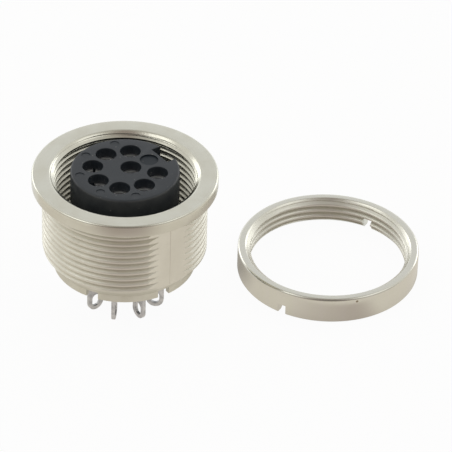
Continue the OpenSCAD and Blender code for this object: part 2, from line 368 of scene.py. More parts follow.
def threaded_turning_tree():
    """Turns a half section about the Z axis and raises its threads' ridges on a right-hand helix."""
    sheet, given, result = new_tree("GeometryNodeTree", "Threaded Turning", [
        ("Section", "NodeSocketGeometry", None),
        ("Columns", "NodeSocketInt", None),
        ("Pitch", "NodeSocketFloat", None),
        ("Crest", "NodeSocketFloat", None),
        ("Flank", "NodeSocketFloat", None),
        ("Mouth Slope", "NodeSocketFloat", None),
        ("Place", "NodeSocketVector", None),
        ("Material", "NodeSocketMaterial", None),
    ], [("Geometry", "NodeSocketGeometry")])
    section = given["Section"]
    rows = sheet.out("GeometryNodeAttributeDomainSize", section)
    columns = sheet.math("ADD", given["Columns"], 1.0)
    grid = sheet.out("GeometryNodeMeshGrid", 1.0, 1.0, columns, rows)
    index = sheet.out("GeometryNodeInputIndex")
    column = sheet.math("FLOOR", sheet.math("DIVIDE", index, rows))
    row = sheet.math("SUBTRACT", index, sheet.math("MULTIPLY", column, rows))

    def at_row(value, kind):
        return sheet.out("GeometryNodeSampleIndex", section, value, row, data_type=kind)

    def row_value(name):
        return at_row(sheet.out("GeometryNodeInputNamedAttribute", name, data_type="FLOAT"), "FLOAT")

    point = sheet.add("ShaderNodeSeparateXYZ", at_row(sheet.out("GeometryNodeInputPosition"), "FLOAT_VECTOR"))
    turned = sheet.math("DIVIDE", column, given["Columns"])
    rise = sheet.math("MULTIPLY", sheet.math("MULTIPLY", given["Pitch"], turned), row_value("turn"))
    low = row_value("low")
    high = row_value("high")
    height = sheet.math("ADD", point.outputs["Z"], rise)
    z = sheet.math("MINIMUM", sheet.math("MAXIMUM", height, low), high)
    phase = sheet.math("SUBTRACT", sheet.math("DIVIDE", z, given["Pitch"]), turned)
    phase = sheet.math("ADD", phase, row_value("lead"))
    from_crest = sheet.math("MULTIPLY", sheet.math("PINGPONG", phase, 0.5), 2.0)
    form = sheet.ramp(from_crest, given["Crest"], given["Flank"], 1.0, 0.0)
    ridge = row_value("ridge")
    full = sheet.math("MULTIPLY", sheet.math("ABSOLUTE", ridge), form)
    low_room = sheet.math("MULTIPLY", sheet.math("SUBTRACT", z, low), given["Mouth Slope"])
    high_room = sheet.math("MULTIPLY", sheet.math("SUBTRACT", high, z), given["Mouth Slope"])
    raised = sheet.math("MINIMUM", sheet.math("MINIMUM", full, low_room), high_room)
    radius = sheet.math("ADD", point.outputs["X"], sheet.math("MULTIPLY", sheet.math("SIGN", ridge), raised))
    bearing = sheet.math("MULTIPLY", turned, 2 * math.pi)
    x = sheet.math("MULTIPLY", radius, sheet.math("COSINE", bearing))
    y = sheet.math("MULTIPLY", radius, sheet.math("SINE", bearing))
    place = sheet.vector("ADD", sheet.out("ShaderNodeCombineXYZ", x, y, z), given["Place"])
    turned_grid = sheet.out("GeometryNodeSetPosition", grid, None, place)
    closed = sheet.out("GeometryNodeMergeByDistance", turned_grid, None, MERGE)
    return finish_tree(sheet, closed, given["Material"], result)


def instances_at(sheet, places, instance):
    """Puts an instance on each point of the places, turned to the point's bearing."""
    bearing = sheet.out("GeometryNodeInputNamedAttribute", "bearing", data_type="FLOAT")
    turn = sheet.out("FunctionNodeEulerToRotation", sheet.out("ShaderNodeCombineXYZ", None, None, bearing))
    node = sheet.add("GeometryNodeInstanceOnPoints")
    sheet.put(node.inputs["Points"], sheet.add("GeometryNodeObjectInfo", places).outputs["Geometry"])
    sheet.put(node.inputs["Instance"], instance)
    sheet.put(node.inputs["Rotation"], turn)
    return node.outputs["Instances"]


def cuts_tree():
    """Cuts a shape out of a piece at each place."""
    sheet, given, result = new_tree("GeometryNodeTree", "Cuts at Places", [
        ("Piece", "NodeSocketGeometry", None),
        ("Places", "NodeSocketObject", None),
        ("Cutter", "NodeSocketObject", None),
        ("Material", "NodeSocketMaterial", None),
    ], [("Geometry", "NodeSocketGeometry")])
    cutter = sheet.add("GeometryNodeObjectInfo", given["Cutter"]).outputs["Geometry"]
    cutters = sheet.out("GeometryNodeRealizeInstances", instances_at(sheet, given["Places"], cutter))
    marked = sheet.out(
        "GeometryNodeStoreNamedAttribute", cutters, None, "cut", 1, data_type="INT", domain="FACE")
    cut = sheet.out(
        "GeometryNodeMeshBoolean", given["Piece"], marked, operation="DIFFERENCE", solver="MANIFOLD")
    return finish_tree(sheet, cut, given["Material"], result)


def copies_tree():
    """Repeats a piece at each place."""
    sheet, given, result = new_tree("GeometryNodeTree", "Copies at Places", [
        ("Piece", "NodeSocketGeometry", None),
        ("Places", "NodeSocketObject", None),
        ("Material", "NodeSocketMaterial", None),
    ], [("Geometry", "NodeSocketGeometry")])
    return finish_tree(sheet, instances_at(sheet, given["Places"], given["Piece"]), given["Material"], result)


def tree_of(name, maker):
    """Gives a node tree by name, and makes it the first time."""
    return bpy.data.node_groups.get(name) or maker()


def add_nodes(obj, tree, **values):
    """Adds a geometry tree to an object and sets its inputs by their sockets' identifiers."""
    modifier = obj.modifiers.new(tree.name, "NODES")
    modifier.node_group = tree
    sockets = {item.name: item.identifier for item in tree.interface.items_tree if item.in_out == "INPUT"}
    for name, value in values.items():
        modifier[sockets[name]] = value


# Shapes

def new_object(name, mesh):
    obj = bpy.data.objects.new(name, mesh)
    bpy.context.scene.collection.objects.link(obj)
    return obj


class Section:
    """Half section of a turned piece, up its outside and down its inside, with its threads."""

    def __init__(self):
        self.rows = []

    def point(self, r, z):
        self.rows.append({"r": r, "z": z, "low": z, "high": z, **PLAIN_ROW})

    def arc(self, r, z, radius, start, end):
        """Rounds a corner about the centre (r, z), from one direction to another in degrees."""
        for step in range(ARC_STEPS + 1):
            turn = math.radians(start + (end - start) * step / ARC_STEPS)
            self.point(r + radius * math.cos(turn), z + radius * math.sin(turn))

    def thread(self, root, ridge, low, high, pitch, upward, start):
        """Adds the rows of a thread that starts at an angle and runs out at both its ends."""
        count = math.ceil((high - low) / pitch + 1) * THREAD_ROWS
        levels = [high - pitch / THREAD_ROWS * step for step in range(count + 1)]
        for z in reversed(levels) if upward else levels:
            self.rows.append({
                "r": root, "z": z, "ridge": ridge, "turn": 1.0, "lead": start / (2 * math.pi),
                "low": low, "high": high,
            })

    def turned(self, name, thread, place, material, mouth_tilt=math.pi / 4):
        """Makes the object that the section turns into, with threads that end on cones of the given tilt."""
        mesh = bpy.data.meshes.new(name)
        mesh.from_pydata([(row["r"], 0, row["z"]) for row in self.rows], [], [])
        for key in ROW_VALUES:
            attribute = mesh.attributes.new(key, "FLOAT", "POINT")
            attribute.data.foreach_set("value", [row[key] for row in self.rows])
        obj = new_object(name, mesh)
        tree = tree_of("Threaded Turning", threaded_turning_tree)
        add_nodes(
            obj, tree, Columns=TURN_COLUMNS, Pitch=thread.pitch, Crest=thread.crest, Flank=thread.flank,
            Place=place, Material=material, **{"Mouth Slope": math.tan(mouth_tilt)},
        )
        return obj


class Lip:
    """Rounded corner between a level face and the bevel of a thread's mouth."""

    def __init__(self, sizes, thread):
        turn = math.pi / 2 - sizes.mouth_tilt
        self.turn = math.degrees(turn)
        self.r = sizes.bore_r + sizes.mouth + sizes.lip * math.tan(turn / 2)
        self.thread_depth = (sizes.mouth - thread.depth) / math.tan(sizes.mouth_tilt)


def loft(name, rings):
    """Makes a closed solid through rings of equally many points, listed upwards, each anticlockwise."""
    count = len(rings[0])
    shape = bmesh.new()
    points = [[shape.verts.new(point) for point in ring] for ring in rings]
    for lower, upper in zip(points, points[1:]):
        for k in range(count):
            following = (k + 1) % count
            shape.faces.new((lower[k], lower[following], upper[following], upper[k]))
    shape.faces.new(reversed(points[0]))
    shape.faces.new(points[-1])
    mesh = bpy.data.meshes.new(name)
    shape.to_mesh(mesh)
    shape.free()
    return new_object(name, mesh)


def rectangle(x0, x1, y0, y1, z):
    return [(x0, y0, z), (x1, y0, z), (x1, y1, z), (x0, y1, z)]


def circle(radius, z, x=0.0):
    """Ring about an upright axis that lies at x."""
    turns = [2 * math.pi * k / HOLE_SIDES for k in range(HOLE_SIDES)]
    return [(x + radius * math.cos(turn), radius * math.sin(turn), z) for turn in turns]


def places(name, spots):
    """Makes an object of points, each with the bearing that its instance turns to."""
    mesh = bpy.data.meshes.new(name)
    mesh.from_pydata([spot for spot, bearing in spots], [], [])
    attribute = mesh.attributes.new("bearing", "FLOAT", "POINT")
    attribute.data.foreach_set("value", [bearing for spot, bearing in spots])
    return new_object(name, mesh)


def round_the_axis(name, count, start, centre=ORIGIN):
    """Makes places at one centre, turned in equal steps."""
    return places(name, [(centre, start + 2 * math.pi * k / count) for k in range(count)])


def socket_spots():
    """Place and bearing of each contact, from the packed model."""
    return [((at.x, at.y, 0.0), math.atan2(at.y, at.x)) for at in SOCKETS.values()]


def mark_edges(shape):
    """Shades a mesh smooth, but for its sharp corners and the outlines of its cuts."""
    mark = shape.faces.layers.int.get("cut")
    for face in shape.faces:
        face.smooth = True
    for edge in shape.edges:
        outline = mark is not None and len({face[mark] for face in edge.link_faces}) > 1
        edge.smooth = not outline and edge.calc_face_angle(math.pi) < SHARP_ANGLE


def settle(obj, helpers):
    """Makes the result of an object's modifiers its plain mesh and removes the helpers."""
    depsgraph = bpy.context.evaluated_depsgraph_get()
    mesh = bpy.data.meshes.new_from_object(obj.evaluated_get(depsgraph))
    mesh.name = obj.name
    obj.modifiers.clear()
    obj.data = mesh
    for helper in helpers:
        bpy.data.objects.remove(helper)
    shape = bmesh.new()
    shape.from_mesh(mesh)
    bmesh.ops.remove_doubles(shape, verts=shape.verts, dist=WELD)
    mark_edges(shape)
    shape.to_mesh(mesh)
    shape.free()
    for name in ROW_VALUES + ("bearing", "cut"):
        if name in mesh.attributes:
            mesh.attributes.remove(mesh.attributes[name])


def cut_out(obj, material, cuts):
    """Cuts shapes out of a piece at their places, one kind after another, and settles it."""
    tree = tree_of("Cuts at Places", cuts_tree)
    for where, cutter in cuts:
        add_nodes(obj, tree, Places=where, Cutter=cutter, Material=material)
    settle(obj, dict.fromkeys(helper for pair in cuts for helper in pair))


def stand_for(obj, slot, *nodes):
    """Puts a finished piece on the body in place of CAD nodes."""
    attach(obj, BODY)
    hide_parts(*nodes)


# Finishes

# Levels of noise between which a pattern goes from none to full
NOISE_RANGE = (0.3, 0.7)
CLOUD_RANGE = (0.35, 0.65)

# Roughness from clean to worn, and factors on it
SHELL_ROUGHNESS = (0.3, 0.42)
SHELL_SMOOTHED = 0.6
SHELL_DULLED = 1.38
NUT_ROUGHNESS = (0.17, 0.26)
NUT_DULLED = 1.8
CONTACT_ROUGHNESS = (0.42, 0.58)
PLASTIC_ROUGHNESS = (0.42, 0.55)

# Shine of the plastic, and the dust on it
PLASTIC_SHINE = 0.64
RECESS_SHINE = 0.32
DUST_FILM = (0.04, 0.18)
SPECK_SCALE = 2600.0
SPECK_RANGE = (0.7, 0.76)


def mottle_group():
    """Soft cloudy variation, with a finer one for relief."""
    sheet, given, result = new_tree("ShaderNodeTree", "Mottle", [
        ("Vector", "NodeSocketVector", None),
        ("Cloud Scale", "NodeSocketFloat", None),
        ("Grain Scale", "NodeSocketFloat", None),
    ], [("Cloud", "NodeSocketFloat"), ("Grain", "NodeSocketFloat")])
    cloud = sheet.noise(given["Vector"], given["Cloud Scale"], detail=3.0, roughness=0.55)
    sheet.put(result["Cloud"], sheet.ramp(cloud, *CLOUD_RANGE))
    sheet.put(result["Grain"], sheet.noise(given["Vector"], given["Grain Scale"]))
    return sheet.tree


def turning_marks_group():
    """Marks of turning about the Z axis: fine rings by radius and height, and streaks by bearing."""
    sheet, given, result = new_tree("ShaderNodeTree", "Turning Marks", [
        ("Vector", "NodeSocketVector", None),
        ("Ring Scale", "NodeSocketFloat", 9000.0),
        ("Streak Scale", "NodeSocketFloat", 14.0),
    ], [("Rings", "NodeSocketFloat"), ("Streaks", "NodeSocketFloat")])
    flat = sheet.flat(given["Vector"])
    height = sheet.add("ShaderNodeSeparateXYZ", given["Vector"]).outputs["Z"]
    across = sheet.out("ShaderNodeCombineXYZ", sheet.vector("LENGTH", flat), height)
    round_it = sheet.vector("NORMALIZE", flat)
    for name, vector in (("Ring", across), ("Streak", round_it)):
        noise = sheet.noise(vector, given[f"{name} Scale"])
        sheet.put(result[f"{name}s"], sheet.ramp(noise, *NOISE_RANGE))
    return sheet.tree


def new_material(name, metallic):
    """Makes a material and gives its sheet, its Principled shader and its Object coordinates."""
    material = bpy.data.materials.new(name)
    material.use_nodes = True
    sheet = NodeSheet(material.node_tree)
    shader = material.node_tree.nodes["Principled BSDF"]
    shader.inputs["Metallic"].default_value = metallic
    coordinates = sheet.add("ShaderNodeTexCoord").outputs["Object"]
    return material, sheet, shader, coordinates


def colour(value):
    return (*value, 1.0)


def mottle(sheet, coordinates, cloud, grain):
    """Clouds and grain at the given scales."""
    node = sheet.add("ShaderNodeGroup", node_tree=tree_of("Mottle", mottle_group))
    sheet.put(node.inputs["Vector"], coordinates)
    node.inputs["Cloud Scale"].default_value = cloud
    node.inputs["Grain Scale"].default_value = grain
    return node.outputs["Cloud"], node.outputs["Grain"]


def turning_marks(sheet, coordinates):
    """Rings and streaks of turning about the coordinates' upright axis."""
    node = sheet.add("ShaderNodeGroup", node_tree=tree_of("Turning Marks", turning_marks_group))
    sheet.put(node.inputs["Vector"], coordinates)
    return node.outputs


def about_nut(sheet, coordinates):
    """Coordinates measured from the ring nut's axis."""
    return sheet.vector("SUBTRACT", coordinates, (NUT_AXIS.x, NUT_AXIS.y, 0.0))


def from_axis(sheet, coordinates):
    """Distance from the coordinates' upright axis."""
    return sheet.vector("LENGTH", sheet.flat(coordinates))


def wear(sheet, cloud, rings, ring_share):
    """Wear that is partly cloudy and partly in rings."""
    cloudy = sheet.math("MULTIPLY", cloud, 1 - ring_share)
    return sheet.math("ADD", cloudy, sheet.math("MULTIPLY", rings, ring_share))


def dress(sheet, shader, base, roughness, grain, depth):
    """Joins a finish's colour and roughness to its shader, and its grain as a relief of some depth."""
    relief = sheet.add("ShaderNodeBump")
    relief.inputs["Strength"].default_value = 1.0
    relief.inputs["Distance"].default_value = depth
    sheet.put(relief.inputs["Height"], grain)
    sheet.put(shader.inputs["Normal"], relief.outputs["Normal"])
    sheet.put(shader.inputs["Base Color"], base)
    sheet.put(shader.inputs["Roughness"], roughness)


def shell_plating(finishes, sizes):
    """Semi-bright nickel on a die casting, duller below the flange and smoother where it is rubbed; the panel
    thread is painted lighter with a paler copy of the same nickel.
    """
    material, sheet, shader, coordinates = new_material("shell_nickel", metallic=1.0)
    cloud, grain = mottle(sheet, coordinates, cloud=420.0, grain=5000.0)
    rings = turning_marks(sheet, coordinates)["Rings"]
    height = sheet.add("ShaderNodeSeparateXYZ", coordinates).outputs["Z"]
    radius = from_axis(sheet, coordinates)
    inner = sheet.ramp(radius, sizes.bore_r + sizes.mouth, sizes.bore_r + 1.2 * sizes.mouth, 1.0, 0.0)
    below = sheet.ramp(height, -sizes.edge, 0.0, 1.0, 0.0)
    thread = sheet.math("MULTIPLY", below, sheet.math("SUBTRACT", 1.0, inner))
    plating = sheet.blend(cloud, colour(finishes.nickel), colour(finishes.nickel_warm))
    # Painted light: the panel thread takes the paler copy of the nickel.
    base = sheet.blend(thread, plating, colour(finishes.nickel_painted_lighter))
    high = sheet.ramp(height, sizes.top_z - 1.5 * sizes.edge, sizes.top_z - sizes.edge)
    outer = sheet.ramp(radius, sizes.flange_r - 1.5 * sizes.edge, sizes.flange_r - sizes.edge)
    rubbed = sheet.math("MULTIPLY", high, outer)
    turned = sheet.math("MULTIPLY", inner, sheet.math("GREATER_THAN", height, sizes.cavity_z))
    smooth = sheet.ramp(sheet.math("MAXIMUM", rubbed, turned), 0.0, 1.0, 1.0, SHELL_SMOOTHED)
    dull = sheet.ramp(below, 0.0, 1.0, 1.0, SHELL_DULLED)
    satin = sheet.ramp(wear(sheet, cloud, rings, ring_share=0.3), 0.0, 1.0, *SHELL_ROUGHNESS)
    roughness = sheet.math("MULTIPLY", satin, sheet.math("MULTIPLY", smooth, dull))
    dress(sheet, shader, base, roughness, grain, depth=0.006 * MM)
    return material


def nut_plating(finishes, sizes):
    """Bright nickel on turned brass, duller inside, with a small stain."""
    material, sheet, shader, coordinates = new_material("nut_nickel", metallic=1.0)
    cloud, grain = mottle(sheet, coordinates, cloud=300.0, grain=4000.0)
    own = about_nut(sheet, coordinates)
    marks = turning_marks(sheet, own)
    plating = sheet.blend(marks["Streaks"], colour(finishes.nut_nickel), colour(finishes.nickel))
    outwards = Vector((math.cos(sizes.stain_bearing), math.sin(sizes.stain_bearing), 0)) * sizes.outer_r
    spot = Vector((NUT_AXIS.x, NUT_AXIS.y, NUT_LOW.z + sizes.stain_height)) + outwards
    away = sheet.vector("DISTANCE", coordinates, tuple(spot))
    stain = sheet.ramp(away, sizes.stain_r / 3, sizes.stain_r, 1.0, 0.0, soft=True)
    base = sheet.blend(stain, plating, colour(finishes.stain))
    bright = sheet.ramp(wear(sheet, cloud, marks["Rings"], ring_share=0.4), 0.0, 1.0, *NUT_ROUGHNESS)
    mouth_r = sizes.bore_r + sizes.mouth
    dull = sheet.ramp(from_axis(sheet, own), sizes.bore_r + 0.6 * sizes.mouth, mouth_r, NUT_DULLED, 1.0)
    roughness = sheet.math("MULTIPLY", bright, dull)
    dress(sheet, shader, base, roughness, grain, depth=0.003 * MM)
    return material


def contact_plating(finishes):
    """Dull tin on bronze sheet."""
    material, sheet, shader, coordinates = new_material("contact_tin", metallic=1.0)
    cloud, grain = mottle(sheet, coordinates, cloud=1400.0, grain=7000.0)
    base = sheet.blend(cloud, colour(finishes.tin), colour(finishes.tin_dull))
    roughness = sheet.ramp(cloud, 0.0, 1.0, *CONTACT_ROUGHNESS)
    dress(sheet, shader, base, roughness, grain, depth=0.006 * MM)
    return material


def insert_plastic(finishes, sizes):
    """Dark moulded plastic with a fine satin grain and dust on its outside, dull in the round recess."""
    material, sheet, shader, coordinates = new_material("insert_plastic", metallic=0.0)
    cloud, grain = mottle(sheet, coordinates, cloud=350.0, grain=9000.0)
    plastic = sheet.blend(cloud, colour(finishes.plastic), colour(finishes.plastic_pale))
    radius = from_axis(sheet, coordinates)
    wall = sheet.ramp(radius, sizes.body_r - sizes.rim / 2, sizes.body_r - sizes.rim / 8)
    film = sheet.math("MULTIPLY", wall, sheet.ramp(cloud, 0.0, 1.0, *DUST_FILM))
    specks = sheet.ramp(sheet.noise(coordinates, SPECK_SCALE), *SPECK_RANGE)
    base = sheet.blend(sheet.math("MAXIMUM", specks, film), plastic, colour(finishes.dust))
    roughness = sheet.ramp(grain, *NOISE_RANGE, *PLASTIC_ROUGHNESS)
    recess = (0.0, sizes.recess_place, sizes.face_z - sizes.recess_depth)
    away = sheet.vector("DISTANCE", coordinates, recess)
    recess_end = sizes.recess_r + sizes.recess_depth / 10
    shine = sheet.ramp(away, sizes.recess_r, recess_end, RECESS_SHINE, PLASTIC_SHINE)
    sheet.put(shader.inputs["Specular IOR Level"], shine)
    dress(sheet, shader, base, roughness, grain, depth=0.008 * MM)
    return material


# Studio

WHITE = (1.0, 1.0, 1.0, 1.0)
SENSOR_MM = 36
VIEW_RANGE = (10 * MM, 10)

# Places of the soft boxes on the right, in metres to the right of the part, behind it and above it
SIDE_BOX = Vector((0.362, -0.132, 0.46))
BACK_BOX = Vector((0.42, 0.42, 0.13))

# Distances on the floor over which its painted shade in reflections changes: from the nut's axis, across the
# nut, from the receptacle's axis and from the middle of the painted shadow between the two
NUT_FLOOR = (14 * MM, 16 * MM)
NUT_STRIP = (5 * MM, 7 * MM)
NEAR_FLOOR = (15 * MM, 32 * MM)
BETWEEN_FLOOR = (1.5 * MM, 6 * MM)

# Shares of open sky above the floor, over which the painted shade by the part fades
SHADED_TO_OPEN = (0.4, 0.8)

# Cosines of the angle from the way to the camera, over which the floor's painted shade and the light change
FLOOR_FRONT = (0.78, 0.98)
FLOOR_BACK = (-0.2, -0.7)
LIGHT_FRONT = (0.7, 0.97)
LIGHT_SIDE = (-0.1, 0.2)
LIGHT_HORIZON = (-0.35, -0.75)
LIGHT_BACK = (-0.5, -0.9)
LIGHT_LENS = (0.9, 0.985)

# Sines of the angle above the horizon, over which the light changes
LIGHT_LOW = (0.22, 0.5)
LIGHT_TOP = (0.85, 1.0)


def forward(stage):
    """Level direction from the part to the camera."""
    return Matrix.Rotation(stage.bearing, 3, "Z") @ Vector((0, -1, 0))


def sideways(stage):
    """Level direction from left to right, as the camera sees it."""
    return Matrix.Rotation(stage.bearing, 3, "Z") @ Vector((1, 0, 0))


def to_camera(stage):
    """Direction from the part to the camera."""
    return forward(stage) * math.cos(stage.elevation) + Vector((0, 0, math.sin(stage.elevation)))


def towards_front(sheet, vector, stage):
    """Cosine of the angle, seen from above, between a vector and the way to the camera."""
    way = sheet.vector("NORMALIZE", sheet.flat(vector))
    return sheet.vector("DOT_PRODUCT", way, tuple(forward(stage)))


def painted_reflection_zones(sheet, spot, stage):
    """Painted shade of the floor in reflections: white behind the pieces, darker beside and in front of them,
    and darker in a strip inside the ring nut.
    """
    from_nut = about_nut(sheet, spot)
    by_nut = sheet.ramp(from_axis(sheet, from_nut), *NUT_FLOOR, 1.0, 0.0)
    from_piece = sheet.out("ShaderNodeMix", by_nut, spot, from_nut, data_type="VECTOR")
    towards = towards_front(sheet, from_piece, stage)
    # Painted shade: a strip of floor inside the ring nut, along the way to the camera, is darkened in
    # reflections.
    in_nut = sheet.math("LESS_THAN", from_axis(sheet, from_nut), mount_radius("ring_nut_thread"))
    across = sheet.math("ABSOLUTE", sheet.vector("DOT_PRODUCT", from_nut, tuple(sideways(stage))))
    dim = sheet.math("MULTIPLY", in_nut, sheet.ramp(across, *NUT_STRIP, 1.0, 0.0))
    ahead = sheet.math("MAXIMUM", sheet.ramp(towards, *FLOOR_FRONT, soft=True), dim)
    behind = sheet.math("SUBTRACT", sheet.ramp(towards, *FLOOR_BACK, soft=True), dim)
    away = sheet.ramp(from_axis(sheet, spot), *NEAR_FLOOR)
    front = sheet.blend(away, colour(stage.near_floor), colour(stage.front_floor))
    return sheet.blend(behind, sheet.blend(ahead, colour(stage.side_floor), front), WHITE)


def painted_shadow_near_part(sheet, spot, stage):
    """Painted shadow on the floor in reflections: darker close to the part, and in a soft patch between its
    two pieces.
    """
    near = sheet.add("ShaderNodeAmbientOcclusion", samples=4)
    near.inputs["Distance"].default_value = stage.shade_reach
    by_part = sheet.ramp(near.outputs["AO"], *SHADED_TO_OPEN, stage.shade, 1.0)
    middle = Matrix.Rotation(stage.between_turn, 3, "Z") @ NUT_AXIS * stage.between_way
    away = from_axis(sheet, sheet.vector("SUBTRACT", spot, tuple(middle)))
    return sheet.math("MULTIPLY", by_part, sheet.ramp(away, *BETWEEN_FLOOR, stage.between, 1.0))


def floor_paint(stage):
    """White floor that keeps a faint shadow; in reflections it carries painted shade, darkening from behind
    the part to its front, and painted shadow near and between the pieces.
    """
    material = bpy.data.materials.new("studio_floor")
    material.use_nodes = True
    material.node_tree.nodes.clear()
    sheet = NodeSheet(material.node_tree)
    rays = sheet.add("ShaderNodeLightPath").outputs
    spot = sheet.add("ShaderNodeTexCoord").outputs["Object"]
    reflected = sheet.vector("SCALE", painted_reflection_zones(sheet, spot, stage), painted_shadow_near_part(sheet, spot, stage))
    # Glossy rays see the floor's painted shade and shadow; the camera sees it white.
    glow = sheet.out("ShaderNodeEmission", sheet.blend(rays["Is Glossy Ray"], WHITE, reflected), 1.0)
    matt = sheet.out("ShaderNodeBsdfDiffuse", colour(stage.matt_floor))
    seen = sheet.math("MAXIMUM", rays["Is Camera Ray"], rays["Is Transmission Ray"])
    shown = sheet.math("MULTIPLY", sheet.math("MAXIMUM", seen, rays["Is Glossy Ray"]), stage.glow)
    sheet.add("ShaderNodeOutputMaterial", sheet.out("ShaderNodeMixShader", shown, matt, glow))
    return material


# Operators

class RECEPTACLE_OT_stage(Operator):
    """Make the camera, the floor, the lamps and the white surroundings"""

    bl_idname = "receptacle.stage"
    bl_label = "Studio"

    def execute(self, context):
        stage = context.scene.receptacle_stage
        self.make_camera(context.scene, stage)
        self.make_floor(stage)
        self.make_world(context.scene, stage)
        self.make_lamps(stage)
        context.scene.view_settings.view_transform = "Standard"
        return {"FINISHED"}

    def make_camera(self, scene, stage):
        camera = bpy.data.objects.new("camera", bpy.data.cameras.new("camera"))
        scene.collection.objects.link(camera)
        camera.data.lens = stage.lens
        camera.data.sensor_width = SENSOR_MM
        camera.data.clip_start, camera.data.clip_end = VIEW_RANGE
        centre = Vector((0, 0, SHELL_HIGH.z))
        back = Vector((0, -math.cos(stage.elevation), math.sin(stage.elevation))) * stage.distance
        turn = Matrix.Rotation(stage.bearing - stage.yaw, 4, "Z")
        tilt = Matrix.Rotation(math.pi / 2 - stage.pitch, 4, "X")
        roll = Matrix.Rotation(stage.roll, 4, "Z")
        place = Matrix.Translation(centre + Matrix.Rotation(stage.bearing, 3, "Z") @ back)
        camera.matrix_world = place @ turn @ tilt @ roll
        scene.camera = camera

    def make_floor(self, stage):
        half = stage.floor_w / 2
        mesh = bpy.data.meshes.new("floor")
        mesh.from_pydata(rectangle(-half, half, -half, half, GROUND_Z), [], [(0, 1, 2, 3)])
        floor = new_object("floor", mesh)
        floor.data.materials.append(floor_paint(stage))

    def make_world(self, scene, stage):
        """White to the camera; for the light, paler behind and at the sides than in front."""
        world = bpy.data.worlds.new("studio")
        world.use_nodes = True
        world.node_tree.nodes.clear()
        sheet = NodeSheet(world.node_tree)
        direction = sheet.add("ShaderNodeTexCoord").outputs["Generated"]
        towards = towards_front(sheet, direction, stage)
        height = sheet.add("ShaderNodeSeparateXYZ", direction).outputs["Z"]
        low = sheet.ramp(height, *LIGHT_LOW, 1.0, 0.0, soft=True)
        horizon = sheet.math("MULTIPLY", sheet.ramp(towards, *LIGHT_HORIZON, soft=True), low)
        beside = sheet.math("MULTIPLY", sheet.ramp(towards, *LIGHT_SIDE, soft=True), low)
        facing = sheet.vector("DOT_PRODUCT", direction, tuple(to_camera(stage)))
        light = colour(stage.side_light)
        for zone, paint in (
            (sheet.ramp(towards, *LIGHT_BACK, soft=True), colour(stage.back_light)),
            (horizon, WHITE),
            (beside, colour(stage.low_light)),
            (sheet.ramp(height, *LIGHT_TOP), colour(stage.top_light)),
            (sheet.ramp(towards, *LIGHT_FRONT, soft=True), colour(stage.front_light)),
            (sheet.ramp(facing, *LIGHT_LENS, soft=True), colour(stage.lens_light)),
        ):
            light = sheet.blend(zone, light, paint)
        lit = sheet.out("ShaderNodeBackground", light, 1.0)
        white = sheet.out("ShaderNodeBackground", WHITE, 1.0)
        seen = sheet.add("ShaderNodeLightPath").outputs["Is Camera Ray"]
        sheet.add("ShaderNodeOutputWorld", sheet.out("ShaderNodeMixShader", seen, lit, white))
        scene.world = world

    def make_lamps(self, stage):
        """Soft boxes at the left and right and low behind, aimed at the middle of the part."""
        middle = (CAD_BOX[0] + CAD_BOX[1]) / 2
        turn = Matrix.Rotation(stage.bearing, 3, "Z")
        mirror = Matrix.Diagonal((-1, 1, 1))
        boxes = {
            "soft_box_left": (mirror @ SIDE_BOX, stage.left_power),
            "soft_box_right": (SIDE_BOX, stage.right_power),
            "back_box_left": (mirror @ BACK_BOX, stage.back_power),
            "back_box_right": (BACK_BOX, stage.back_power),
        }
        for name, (place, power) in boxes.items():
            lamp = bpy.data.lights.new(name, "AREA")
            lamp.size = stage.lamp_w
            lamp.energy = power
            box = bpy.data.objects.new(name, lamp)
            bpy.context.scene.collection.objects.link(box)
            box.location = middle + turn @ place
            box.rotation_euler = (middle - box.location).to_track_quat("-Z", "Y").to_euler()


